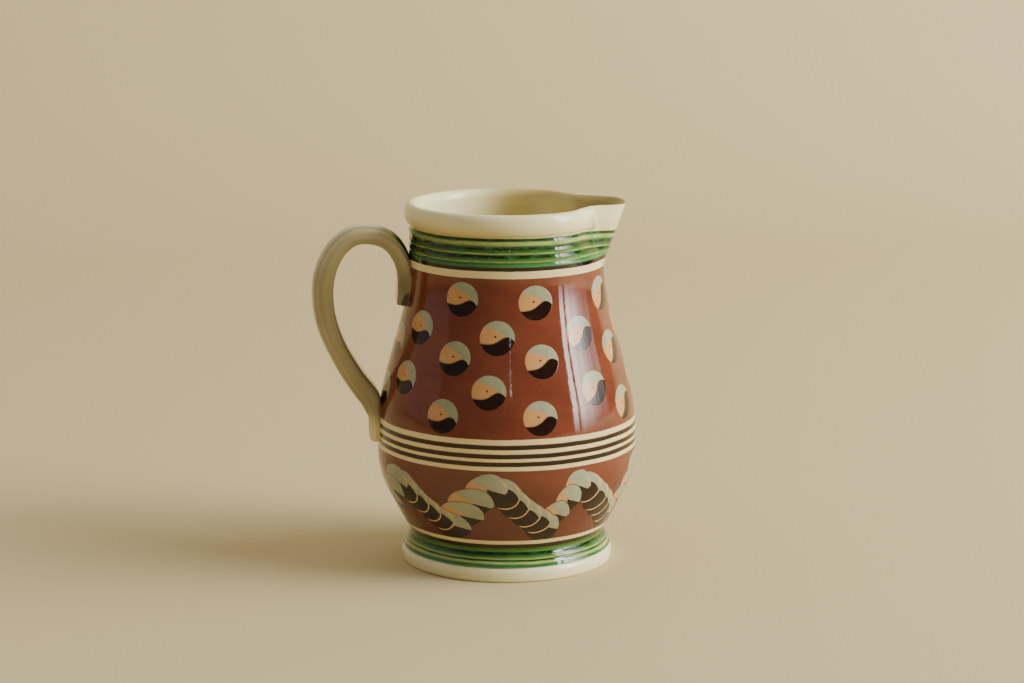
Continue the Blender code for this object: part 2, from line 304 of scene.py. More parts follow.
# The cat's-eye dots: angle in degrees and height in metres of each centre.
dots = dict(
    radius=0.00835,
    turnAt=(-175, -150, -125, -100, -80, -52, -29, -8),   # angles, with the tilt of the dots there
    turn=(-24, -20, -13, -5, 0, 22, 34, 36),
    seen=(
        (-121.8, 0.1373), (-148.2, 0.1214), (-122.7, 0.1097), (-100.8, 0.1200), (-152.1, 0.0972),
        (-104.1, 0.0951), (-125.4, 0.0828), (-79.5, 0.1360), (-78.2, 0.1088), (-81.0, 0.0830),
        (-53.9, 0.1201), (-50.9, 0.0940), (-29.0, 0.1362), (-29.2, 0.1102), (-29.8, 0.0836),
        (-171.5, 0.1125), (-173.0, 0.0880), (-8.0, 0.1195), (-7.5, 0.0932),
    ),
    threes=(0.1366, 0.1096, 0.0832),   # heights in a column of three, then of two
    twos=(0.1203, 0.0948),
    hiddenFrom=14.0, hiddenTo=168.0, hiddenColumns=7,
    hiddenDrift=(1.6, 0.001), hiddenTurn=(-20.0, 25.0),   # degrees and metres
)

# The cable of slip round the lower body, one lobe after the other.
cable = dict(
    radius=0.0081, lobes=64, toPeriod=8,
    startAngle=-125.0,   # of the lobe in the first valley
    firstEarly=-8,   # degrees ahead of even steps, from this lobe on
    early=(0.0, -1.5, -1.5, 0.5, 1.0, 0.6, 0.3, 0.0,
           0.0, 2.3, 4.7, 5.2, 5.3, 5.2, 4.2, 4.0, 4.6, 3.4, 1.6, 0.9, -0.5, -0.2, 1.0),
    valley=0.0146, rising=0.0074, falling=0.0048,
    lowFrom=55.5, lowShare=0.11,   # the last wave is lower
    peak=4.2, peakSlope=0.8, peakLift=1.5,
    lastRising=3.5, lean=0.20, stretch=0.06, point=(0.96, 1.06),
    drift=(1.2, 1.0), sideRipple=0.09, topRipple=0.12, rippleScale=110.0,
)


def dotCentres():
    centres = list(dots["seen"])
    rng = np.random.default_rng(7)
    span = dots["hiddenTo"] - dots["hiddenFrom"]
    turned, raised = dots["hiddenDrift"]
    for column in range(dots["hiddenColumns"]):
        angle = dots["hiddenFrom"] + span * column / (dots["hiddenColumns"] - 1)
        for height in dots["threes"] if column % 2 == 0 else dots["twos"]:
            centres.append((angle + rng.uniform(-turned, turned), height + rng.uniform(-raised, raised)))
    tilts = [np.interp(angle, dots["turnAt"], dots["turn"]) if angle < 0.0 else rng.uniform(*dots["hiddenTurn"])
             for angle, height in centres]
    return [(angle, height, tilt) for (angle, height), tilt in zip(centres, tilts)]


def setAttribute(mesh, name, values):
    layer = mesh.attributes.new(name, "FLOAT", "POINT")
    layer.data.foreach_set("value", np.asarray(values, np.float32))


def meshPlaces(mesh):
    flat = np.zeros(len(mesh.vertices) * 3)
    mesh.vertices.foreach_get("co", flat)
    return flat.reshape(-1, 3)


# Stands for no dot or lobe near by, as a share of its radius.
farAway = 9.0


# What the decoration is drawn from: places on the wall in millimetres, and shares of a dot's radius.
def decorationFields(mesh, turned):
    height = turned[:, 2]
    radius = np.hypot(turned[:, 0], turned[:, 1])
    angle = np.degrees(np.arctan2(turned[:, 1], turned[:, 0]))
    steps = np.linspace(body["waistHeight"], body["rimHeight"], 800)
    lengths = np.concatenate(([0.0], np.cumsum(np.hypot(np.diff(steps), np.diff(bodyRadius(steps))))))
    wallLength = np.interp(height, steps, lengths)
    setAttribute(mesh, "turnHeight", height * 1000.0)
    setAttribute(mesh, "wallLength", wallLength * 1000.0)
    crest = body["neckRadius"] - body["crestInset"]
    outsideFrom = np.where(height > body["insideFrom"], crest, bodyRadius(height) - body["outsideDepth"])
    setAttribute(mesh, "outside", (radius > outsideFrom) | (height < body["footTop"]))

    bestDistance = np.full(len(height), farAway)
    dotU, dotV, dotSeed = np.full(len(height), farAway), np.zeros(len(height)), np.zeros(len(height))
    for index, (dotAngle, dotHeight, tilt) in enumerate(dotCentres()):
        turn = (angle - dotAngle + 180.0) % 360.0 - 180.0
        across = np.radians(turn) * radius / dots["radius"]
        up = (wallLength - np.interp(dotHeight, steps, lengths)) / dots["radius"]
        cosine, sine = math.cos(math.radians(tilt)), math.sin(math.radians(tilt))
        u, v = across * cosine + up * sine, up * cosine - across * sine
        distance = np.hypot(u, v)
        nearer = distance < bestDistance
        bestDistance = np.where(nearer, distance, bestDistance)
        dotU, dotV = np.where(nearer, u, dotU), np.where(nearer, v, dotV)
        dotSeed = np.where(nearer, (index * 0.618) % 1.0, dotSeed)
    setAttribute(mesh, "dotU", dotU)
    setAttribute(mesh, "dotV", dotV)
    setAttribute(mesh, "dotSeed", dotSeed)
    setAttribute(mesh, "dotAway", bestDistance)

    stepAngle = 360.0 / cable["lobes"]
    early = np.array(cable["early"])
    places = (np.arange(len(early)) + cable["firstEarly"]) * stepAngle + early
    places = np.concatenate(([-90.0], places, [140.0, 200.0, 270.0]))   # even steps on the back
    ahead = np.concatenate(([0.0], early, [0.0, 0.0, 0.0]))
    turn = (angle - cable["startAngle"] + 90.0) % 360.0 - 90.0
    setAttribute(mesh, "cableAhead", np.interp(turn, places, ahead))


# Wraps a socket, so that an expression on values adds its Math nodes.
class flow:
    tree = None

    def __init__(self, socket):
        self.socket = socket

    @classmethod
    def add(cls, kind, settings=(), values=(), out=0):
        node = cls.tree.nodes.new("ShaderNode" + kind)
        for name, value in dict(settings).items():
            if name == "stops":
                while len(node.color_ramp.elements) < len(value):
                    node.color_ramp.elements.new(1.0)
                for element, (position, colour) in zip(node.color_ramp.elements, value):
                    element.position = position
                    element.color = colour
            elif name == "interpolation":
                node.color_ramp.interpolation = value
            else:
                setattr(node, name, value)
        for key, value in dict(values).items():
            if isinstance(value, flow):
                cls.tree.links.new(value.socket, node.inputs[key])
            else:
                node.inputs[key].default_value = value
        return cls(node.outputs[out])

    def calc(self, operation, *others):
        return flow.add("Math", {"operation": operation}, enumerate((self,) + others))

    def __add__(self, other): return self.calc("ADD", other)
    def __sub__(self, other): return self.calc("SUBTRACT", other)
    def __mul__(self, other): return self.calc("MULTIPLY", other)
    def __truediv__(self, other): return self.calc("DIVIDE", other)
    def __lt__(self, other): return self.calc("LESS_THAN", other)
    def __gt__(self, other): return self.calc("GREATER_THAN", other)
    def __abs__(self): return self.calc("ABSOLUTE")
    __radd__, __rmul__ = __add__, __mul__

    def __rsub__(self, other):
        return flow.add("Math", {"operation": "SUBTRACT"}, ((0, other), (1, self)))

    def __rtruediv__(self, other):
        return flow.add("Math", {"operation": "DIVIDE"}, ((0, other), (1, self)))


def attribute(name):
    return flow.add("Attribute", {"attribute_name": name}, out="Fac")


# 0 below low, 1 above high, and smooth between them.
def fade(value, low, high):
    limits = {0: value, 1: low, 2: high, 3: 0.0, 4: 1.0}
    return flow.add("MapRange", {"interpolation_type": "SMOOTHSTEP"}, limits)


def between(value, low, high, soft):
    return fade(value, low - soft, low + soft) * (1.0 - fade(value, high - soft, high + soft))


def blend(share, first, second):
    return flow.add("Mix", {"data_type": "RGBA"}, {0: share, 6: first, 7: second}, 2)


def choose(share, first, second):
    return flow.add("Mix", {"data_type": "FLOAT"}, {0: share, 2: first, 3: second}, 0)


def noise(vector, scale, detail=2.0, roughness=0.5):
    values = {"Vector": vector, "Scale": scale, "Detail": detail, "Roughness": roughness}
    return flow.add("TexNoise", {}, values)


def stretched(vector, x, y, z):
    return flow.add("VectorMath", {"operation": "MULTIPLY"}, {0: vector, 1: (x, y, z)})


def axes(vector):
    parts = flow.add("SeparateXYZ", {}, {0: vector})
    return [flow(output) for output in parts.socket.node.outputs]


# A colour as it looks on a screen, from 0 to 255, in the shader's linear values.
def tint(red, green, blue):
    linear = [(value / 255.0 / 12.92) if value < 10.3 else ((value / 255.0 + 0.055) / 1.055) ** 2.4
              for value in (red, green, blue)]
    return tuple(linear) + (1.0,)


slip = dict(
    cream=tint(244, 236, 186), creamDeep=tint(232, 216, 154), creamBand=tint(232, 214, 156),
    creamPale=tint(246, 243, 206), creamPoolAndShade=tint(209, 190, 118), lipShade=tint(182, 166, 104),
    olive=tint(180, 167, 124), oliveDeep=tint(134, 119, 76), oliveLit=tint(206, 194, 146),
    brown=tint(121, 63, 41), brownDark=tint(105, 52, 34), brownDeep=tint(86, 41, 28),
    rust=tint(86, 42, 22), rustDark=tint(50, 22, 8), black=tint(32, 12, 3), blackWarm=tint(48, 25, 12),
    sage=tint(159, 162, 131), sageDeep=tint(137, 140, 110),
    buff=tint(199, 147, 92), buffPale=tint(212, 164, 110), buffLine=tint(216, 172, 120),
    greenPale=tint(172, 184, 110), leaf=tint(90, 130, 60), moss=tint(76, 112, 42), greenMid=tint(52, 94, 34),
    greenDark=tint(18, 40, 10), emerald=tint(66, 128, 72), emeraldDeep=tint(42, 94, 48),
)
slip["creamFoot"] = tuple(0.8 * deep + 0.2 * pale for deep, pale in zip(slip["cream"], slip["creamPale"]))


# Sizes of the irregular patterns, where more is finer, and how far the hand wobbled in millimetres.
grain = dict(
    coarse=55.0, fine=420.0, streaks=(60.0, 60.0, 900.0), coarseWobble=0.45, fineWobble=0.18,
    mottling=260.0, mottlingEdge=(0.35, 0.75), darkPatches=190.0, darkPatchEdge=(0.45, 0.75), darkPatchShare=0.55,
)


# What all the layers on the body share.
def mixClay():
    place = flow.add("TexCoord", out="Object")
    x, y, z = axes(place)
    height = attribute("turnHeight")
    coarse = noise(place, grain["coarse"]) - 0.5
    fine = noise(place, grain["fine"]) - 0.5
    patches = fade(noise(place, grain["darkPatches"], 3.0, 0.65), *grain["darkPatchEdge"])
    return SimpleNamespace(
        place=place, x=x, y=y, height=height, wallLength=attribute("wallLength"), coarse=coarse, fine=fine,
        wobble=height + coarse * grain["coarseWobble"] + fine * grain["fineWobble"],
        streaks=noise(stretched(place, *grain["streaks"]), 1.0, 3.0) - 0.5,
        outside=fade(attribute("outside"), 0.3, 0.7),
        mottled=fade(noise(place, grain["mottling"], 3.0, 0.6), *grain["mottlingEdge"]),
        dark=blend(patches * grain["darkPatchShare"], slip["black"], slip["blackWarm"]),
    )


def twoTone(share, first, second):
    return blend(share, slip[first], slip[second])


# The brown ground is darker low down.
ground = dict(patches=35.0, grain=1400.0, streakShare=0.25, grainShare=0.5, patchEdge=(0.3, 0.8),
              deepUnder=(40.0, 60.0), deepShare=0.55)


def layBrown(pot):
    specks = noise(pot.place, ground["grain"]) - 0.5
    patches = noise(stretched(pot.place, 1.0, 1.0, 2.0), ground["patches"], 4.0)
    patches = patches + pot.streaks * ground["streakShare"] + specks * ground["grainShare"]
    brown = twoTone(fade(patches, *ground["patchEdge"]), "brown", "brownDark")
    return blend((1.0 - fade(pot.height, *ground["deepUnder"])) * ground["deepShare"], brown, slip["brownDeep"])


# The three slips inside one dot, which meet right of its middle. Lengths are shares of the dot's radius.
eye = dict(
    wander=0.07, fineWander=0.03, wanderScale=60.0, edge=(0.98, 1.01), reach=(1.15, 1.2),
    sageFrom=0.54, shoulder=0.45, shoulderPower=1.5, bend=0.40, bendSpread=0.10, sageRipple=0.12, sageSoft=0.025,
    darkMiddle=0.60, darkWidth=0.58, darkTop=0.56, darkFoot=0.48, darkSpread=0.06, darkRipple=0.08, darkSoft=0.02,
    rustFrom=-0.09, rustShare=0.55, speckLeft=0.11, speckUp=0.09, speckEdge=(0.045, 0.085), speckShare=0.9,
)


def catsEye(u, v, seed, ripple):
    shoulder = (u + eye["shoulder"]).calc("MAXIMUM", 0.0).calc("POWER", eye["shoulderPower"])
    sageFrom = eye["sageFrom"] - shoulder * (eye["bend"] + seed * eye["bendSpread"]) + ripple * eye["sageRipple"]
    swell = (u - eye["darkMiddle"]) / eye["darkWidth"]
    darkTo = (swell * swell * -1.0).calc("EXPONENT") * eye["darkTop"] - eye["darkFoot"]
    darkTo = darkTo + seed * eye["darkSpread"] + ripple * eye["darkRipple"]
    sage = fade(v - sageFrom, -eye["sageSoft"], eye["sageSoft"])
    dark = fade(darkTo - v, -eye["darkSoft"], eye["darkSoft"])
    rust = fade(darkTo - v, eye["rustFrom"], 0.0)
    return dark, rust, sage


def layDots(pot, colour):
    u = attribute("dotU") + pot.coarse * eye["wander"] + pot.fine * eye["fineWander"]
    v = attribute("dotV") + (noise(pot.place, eye["wanderScale"]) - 0.5) * eye["wander"]
    away = (u * u + v * v).calc("SQRT")
    mask = (1.0 - fade(away, *eye["edge"])) * (1.0 - fade(attribute("dotAway"), *eye["reach"]))
    dark, rust, sage = catsEye(u, v, attribute("dotSeed"), pot.coarse)
    buff = twoTone(pot.mottled * 0.35, "buff", "buffPale")
    paint = blend(sage, buff, twoTone(pot.mottled * 0.5, "sage", "sageDeep"))
    paint = blend(rust * (1.0 - sage) * eye["rustShare"], paint, slip["rust"])
    paint = blend(dark, paint, pot.dark)
    right, up = u + eye["speckLeft"], v - eye["speckUp"]
    speck = 1.0 - fade((right * right + up * up).calc("SQRT"), *eye["speckEdge"])
    paint = blend(speck * eye["speckShare"], paint, slip["blackWarm"])
    return blend(mask, colour, paint), mask


def stepOf(number):
    return number.calc("FLOORED_MODULO", float(cable["toPeriod"]))


def roundOf(number):
    return number.calc("FLOORED_MODULO", float(cable["lobes"]))


def lowWave(lobe):
    return 1.0 - (lobe > cable["lowFrom"]) * cable["lowShare"]


# One lobe of the cable, as seen from a point of the wall. u and v are shares of its radius.
def cableLobe(pot, number, turnIndex, stepMm, ripple):
    lobeMm = cable["radius"] * 1000.0
    lobe = roundOf(number)
    chance = flow.add("TexWhiteNoise", {"noise_dimensions": "1D"}, {"W": lobe * 1.37 + 0.5})
    step = stepOf(lobe)
    climb = (step * (cable["rising"] * 1000.0)).calc(
        "MINIMUM", (cable["toPeriod"] - step) * (cable["falling"] * 1000.0))
    climb = climb + (1.0 - abs(step - cable["peak"]) * cable["peakSlope"]).calc("MAXIMUM", 0.0) * cable["peakLift"]
    climb = climb * lowWave(lobe)
    rising = step < cable["lastRising"]
    sideways, upwards = cable["drift"]
    u = ((turnIndex - number) * stepMm + (chance - 0.5) * sideways) / lobeMm
    strayed = ((chance * 7.3).calc("FRACT") - 0.5) * upwards
    v = (pot.wallLength - climb - cable["valley"] * 1000.0 + strayed) / lobeMm
    u = u + ripple * cable["sideRipple"]
    v = v + pot.coarse * cable["topRipple"]
    across = u - u.calc("MINIMUM", 0.0) * rising * cable["lean"]
    tall = v - v.calc("MAXIMUM", 0.0) * choose(rising, -cable["stretch"], cable["stretch"])
    distance = (across * across + tall * tall).calc("SQRT")
    pointed = rising * (step > 0.5) * (u > 0.0) * (v < 0.0)
    right, down = cable["point"]
    distance = choose(pointed, distance, u * right - v * down)
    return dict(u=u, v=v, step=step, rising=rising, distance=distance)


# How the slips meet in a lobe and in the sage that runs together between falling lobes.
marbling = dict(
    bowPower=2.6, fallingDark=(0.38, 0.95), risingDark=(0.05, 0.30), darkRipple=0.16, darkSoft=0.025,
    leftRipple=0.2, leftEdge=(-0.25, -0.12), tanTop=0.56, tanFall=0.58, tanAcross=(-1.05, 0.10), tanStep=0.15,
    tanRipple=(0.3, 0.2), tanSoft=0.07, tanEnd=(-0.06, 0.12),
    rimLine=(0.905, 0.925), rimLineFrom=(-0.5, -0.1), softLine=(0.80, 0.88), softLineRise=(0.05, 0.62, 0.22),
    softLineFrom=(-0.2, 0.1), softShare=0.8, underLine=(0.025, 0.055), underShare=0.9, lineRipple=0.1,
    ribbon=(3.5, 7.4, 0.1), ribbonFoot=(0.2, 0.3), ribbonTop=(0.95, 0.98), ribbonRipple=0.08,
    hump=(4.1, 5.6, 0.6), humpHeight=0.14, start=(3.4, 4.3), startDepth=0.17, cableHeights=(16.0, 60.0, 1.0),
)


# Of the lobes over a point, the lowest numbered lies on top.
def layCable(pot, colour):
    look = SimpleNamespace(**marbling)
    lobeStep = 360.0 / cable["lobes"]
    lobeMm = cable["radius"] * 1000.0
    theta = pot.y.calc("ARCTAN2", pot.x)
    turnIndex = (theta * (180.0 / math.pi) - cable["startAngle"] + 720.0 - attribute("cableAhead")) / lobeStep
    stepMm = (pot.x * pot.x + pot.y * pot.y).calc("SQRT") * 1000.0 * math.radians(lobeStep)
    ripple = noise(pot.place, cable["rippleScale"], 3.0) - 0.5
    first = (turnIndex - lobeMm / stepMm).calc("CEIL")
    top, inCable, gap = None, None, farAway
    for behind in (3.0, 2.0, 1.0, 0.0):
        lobe = cableLobe(pot, first + behind, turnIndex, stepMm, ripple)
        inside = lobe["distance"] < 1.0
        if top is None:
            top, inCable = lobe, inside
        else:
            gap = choose(inside, (lobe["distance"] - 1.0).calc("MINIMUM", gap), farAway)
            top = {name: choose(inside, top[name], lobe[name]) for name in lobe}
            inCable = inCable.calc("MAXIMUM", inside)
    u, v, step, rising, edge = top.values()

    # dark below, sage above, and buff on the climbing lobes
    climbing = rising * (step > 0.5)
    bow = u.calc("MAXIMUM", 0.0).calc("POWER", look.bowPower)
    darkTop = choose(rising, look.fallingDark[0] - bow * look.fallingDark[1],
                     look.risingDark[0] - u * look.risingDark[1])
    darkShare = fade(darkTop - v + ripple * look.darkRipple, -look.darkSoft, look.darkSoft)
    darkShare = darkShare * choose(climbing, 1.0, fade(u + ripple * look.leftRipple, *look.leftEdge))
    tanTop = look.tanTop - fade(u, *look.tanAcross) * look.tanFall + (3.0 - step) * look.tanStep
    tanTop = tanTop - v + pot.coarse * look.tanRipple[0] + pot.fine * look.tanRipple[1]
    buffShare = fade(tanTop, -look.tanSoft, look.tanSoft) * (1.0 - fade(u, *look.tanEnd)) * climbing
    sage = twoTone(pot.mottled * 0.6, "sage", "sageDeep")
    paint = blend(buffShare, sage, twoTone(pot.mottled * 0.4, "buff", "buffPale"))
    paint = blend(darkShare, paint, pot.dark)

    # thin lines where one lobe ends on the next
    rimLine = fade(edge, *look.rimLine) * darkShare * (1.0 - rising) * fade(u, *look.rimLineFrom)
    softLine = fade(edge + ripple * look.lineRipple, *look.softLine) * between(v, *look.softLineRise)
    softLine = softLine * fade(u, *look.softLineFrom) * (step > 2.5)
    paint = blend(rimLine.calc("MAXIMUM", softLine * look.softShare), paint, slip["buffLine"])
    underLine = 1.0 - fade(gap - ripple * 0.05, *look.underLine)
    paint = blend(underLine * (1.0 - darkShare) * climbing * look.underShare, paint, slip["blackWarm"])

    # between the falling lobes the sage runs together
    stride = stepOf(turnIndex)
    fallMm = cable["falling"] * 1000.0
    slope = stepMm / (stepMm * stepMm + fallMm * fallMm).calc("SQRT")
    fallen = (cable["toPeriod"] - stride) * fallMm * lowWave(roundOf(turnIndex))
    above = (pot.wallLength - cable["valley"] * 1000.0 - fallen) * slope / lobeMm
    hump = between(stride, *look.hump) * look.humpHeight - (1.0 - fade(stride, *look.start)) * look.startDepth
    ribbon = fade(above, *look.ribbonFoot)
    ribbon = ribbon * (1.0 - fade(above + ripple * look.ribbonRipple - hump, *look.ribbonTop))
    ribbon = ribbon * between(stride, *look.ribbon) * (1.0 - inCable)
    paint = blend(ribbon, paint, sage)
    mask = inCable.calc("MAXIMUM", ribbon) * between(pot.height, *look.cableHeights)
    return blend(mask, colour, paint), mask, edge


# Turned bands, in the order in which they were laid: lowest and highest height in millimetres, and the slip.
bands = (
    (58.4, 73.4, "creamBand"),
    (68.48, 70.92, "buff"), (68.6, 70.7, "black"),
    (64.18, 66.62, "buff"), (64.3, 66.4, "black"),
    (60.38, 62.82, "buff"), (60.5, 62.6, "black"),
    (18.6, 20.7, "creamBand"), (16.4, 18.6, "black"),
    (147.7, 152.6, "creamBand"), (151.2, 153.3, "black"),
)
bandSoft = 0.09

# Green glaze over the reeds, pale on them and dark in the grooves. Heights are in millimetres.
neckReeds = dict(
    low=153.2, high=167.0, covered=(153.1, 166.9, 0.12), clouded=0.45,
    shaded=(-0.045, -0.010), shadeShare=0.45,   # places along x, near the handle, where the green is darkened as painted shade
    stops=(
        (153.4, "emerald"), (154.2, "emerald"), (154.8, "greenMid"), (155.3, "leaf"), (155.6, "greenPale"),
        (156.0, "leaf"), (157.1, "greenMid"), (157.9, "greenDark"), (158.7, "greenDark"), (159.2, "leaf"),
        (159.6, "greenPale"), (160.0, "moss"), (161.0, "greenMid"), (161.7, "greenDark"), (162.6, "greenDark"),
        (163.3, "leaf"), (163.9, "greenPale"), (165.0, "greenPale"), (165.5, "greenMid"), (166.2, "greenDark"),
        (166.7, "emeraldDeep"),
    ),
)
footReeds = dict(
    low=7.0, high=16.6, covered=(7.3, 16.4, 0.1), clouded=0.35,
    stops=(
        (7.5, "emerald"), (8.3, "emeraldDeep"), (8.8, "leaf"), (9.3, "greenPale"), (9.7, "greenPale"),
        (10.1, "moss"), (10.35, "greenDark"), (10.55, "greenDark"), (10.9, "leaf"), (11.3, "greenPale"),
        (11.7, "leaf"), (12.6, "greenMid"), (13.3, "greenDark"), (14.0, "greenDark"), (14.6, "leaf"),
        (15.2, "leaf"), (16.0, "moss"),
    ),
)


def reedGreen(pot, reeds):
    span = reeds["high"] - reeds["low"]
    ramp = [((height - reeds["low"]) / span, slip[name]) for height, name in reeds["stops"]]
    spot = (pot.wobble + (pot.streaks + pot.coarse) * 0.5 - reeds["low"]) / span
    return flow.add("ValToRGB", {"stops": ramp, "interpolation": "EASE"}, {0: spot})


def layBands(pot, colour):
    for low, high, name in bands:
        colour = blend(between(pot.wobble, low, high, bandSoft), colour, slip[name])
    clouds = fade(noise(stretched(pot.place, 1.0, 1.0, 2.5), 170.0, 4.0, 0.6), 0.42, 0.68)
    neckMask = between(pot.wobble, *neckReeds["covered"])
    green = blend(clouds * neckReeds["clouded"], reedGreen(pot, neckReeds), slip["emerald"])
    # painted shade on the handle's side of the neck
    shade = (1.0 - fade(pot.x, *neckReeds["shaded"])) * neckReeds["shadeShare"]
    colour = blend(neckMask, colour, blend(shade, green, slip["greenDark"]))
    green = blend(clouds * footReeds["clouded"], reedGreen(pot, footReeds), slip["emerald"])
    return blend(between(pot.wobble, *footReeds["covered"]), colour, green), neckMask


# Cream glaze of the rim, the foot and the inside, in millimetres. Under the rim it is pooled and painted with shade;
# painted shade also darkens the handle's side, the foot's bottom and the inside towards the right.
cream = dict(
    rimFrom=(166.8, 167.0), footUnder=(7.2, 7.4), cloudScale=24.0, cloudEdge=(0.4, 0.7), cloudShare=0.5,
    footPool=(1.5, 6.5), footPoolShare=0.35, rimPool=(167.3, 174.5), rimPoolShare=0.45, handleShare=0.45,
    handleSide=(-20.0, 12.0), drift=6.0, smudge=(166.6, 168.4, 0.5), smudgeScale=75.0, smudgeEdge=(0.58, 0.72),
    smudgeShare=0.5, intoLip=(26.0, 46.0), underRim=(177.75, 177.98), rings=(25.0, 25.0, 420.0),
    ringEdge=(0.35, 0.7), ringShare=0.06, insidePool=(-16.0, 10.0), insidePoolShare=0.94,
)


def layCream(pot, colour):
    look = SimpleNamespace(**cream)
    along = pot.x * 1000.0
    clouds = fade(noise(pot.place, look.cloudScale, 3.0), *look.cloudEdge)
    # pooled glaze and painted shade under the rim roll, and more painted shade on the handle's side, away from the
    # window
    handleSide = 1.0 - fade(along + pot.coarse * look.drift, *look.handleSide)
    rimPool = (1.0 - fade(pot.wobble, *look.rimPool)) * (look.rimPoolShare + handleSide * look.handleShare)
    rim = blend(rimPool, twoTone(clouds * look.cloudShare, "cream", "creamDeep"), slip["creamPoolAndShade"])
    smudge = between(pot.height, *look.smudge) * fade(noise(pot.place, look.smudgeScale, 3.0), *look.smudgeEdge)
    rim = blend(smudge * look.smudgeShare, rim, slip["emerald"])
    # painted shade: the foot is darker towards its bottom
    foot = twoTone((1.0 - fade(pot.wobble, *look.footPool)) * look.footPoolShare, "creamFoot", "creamPoolAndShade")
    colour = blend(fade(pot.wobble, *look.rimFrom), colour, rim)
    colour = blend(1.0 - fade(pot.wobble, *look.footUnder), colour, foot)
    rings = fade(noise(stretched(pot.place, *look.rings), 1.0), *look.ringEdge)
    # painted shade: the inside darkens towards the right, away from the window
    insideRightShade = fade(along + pot.coarse * look.drift, *look.insidePool)
    inside = twoTone(rings * look.ringShare + insideRightShade * look.insidePoolShare, "cream", "creamPoolAndShade")
    # painted shade inside the lip
    intoLip = fade(along, *look.intoLip) * (1.0 - fade(pot.height, *look.underRim))
    inside = blend(intoLip, inside, slip["lipShade"])
    return blend(pot.outside, inside, colour)


# Raised slip, turning rings and the ripple of the glaze: scales along x, y and z, and a height.
relief = dict(
    dots=0.35, cable=0.8, streaks=0.10, strength=0.35, distance=0.0004,
    ripples=(((90.0, 90.0, 90.0), 0.25), ((170.0, 170.0, 520.0), 0.10),
             ((700.0, 700.0, 700.0), 0.09), ((420.0, 420.0, 30.0), 0.07)),
    neckScales=(850.0, 850.0, 90.0), neck=0.16,
)
gloss = dict(ior=1.52, body=0.035, bodySpread=0.035, bodyScale=300.0, strap=0.07, strapSpread=0.05, strapScale=260.0)


def startGlaze(name):
    material = bpy.data.materials.new(name)
    material.use_nodes = True
    flow.tree = material.node_tree
    shader = material.node_tree.nodes["Principled BSDF"]
    shader.inputs["IOR"].default_value = gloss["ior"]
    return material, shader


def join(value, shader, name):
    flow.tree.links.new(value.socket, shader.inputs[name])


def bodyMaterial():
    material, shader = startGlaze("decoratedSlip")
    pot = mixClay()
    colour = layBrown(pot)
    colour, dotMask = layDots(pot, colour)
    colour, cableMask, edge = layCable(pot, colour)
    colour, neckMask = layBands(pot, colour)
    join(layCream(pot, colour), shader, "Base Color")
    cloudy = fade(noise(pot.place, gloss["bodyScale"], 3.0), 0.4, 0.8)
    join(gloss["body"] + cloudy * gloss["bodySpread"], shader, "Roughness")

    raised = dotMask * relief["dots"] + cableMask * (1.0 - edge * edge) * relief["cable"]
    raised = raised * pot.outside + pot.streaks * relief["streaks"]
    for scales, tall in relief["ripples"]:
        raised = raised + noise(stretched(pot.place, *scales), 1.0) * tall
    raised = raised + neckMask * noise(stretched(pot.place, *relief["neckScales"]), 1.0, 1.0) * relief["neck"]
    values = {"Height": raised, "Strength": relief["strength"], "Distance": relief["distance"]}
    join(flow.add("Bump", {}, values), shader, "Normal")
    return material


# The olive glaze of the strap, in millimetres above the foot and away from the axis.
strapLook = dict(
    drift=90.0, reedDrift=200.0, patches=30.0, patchEdge=(0.35, 0.7), patchShare=0.5,
    paleFrom=(136.0, 160.0), paleShare=0.85, reed=(0.25, 0.9), reedShare=0.25,
    back=(0.05, 0.5), backShare=0.5, edgeShare=0.6, creamUnder=(66.0, 78.0),
    greenFrom=(145.0, 152.0), greenWithin=(53.0, 59.0), greenOut=(0.78, 0.90), greenShare=0.92, darkFrom=(50.0, 56.0),
    smearHeight=131.0, smearSlope=0.40, smearReach=50.0, smearEdge=(1.5, 2.3),
    smearFrom=(120.0, 124.0), smearTo=(133.5, 136.0),
    ripple=120.0, strength=0.3, distance=0.0003,
)


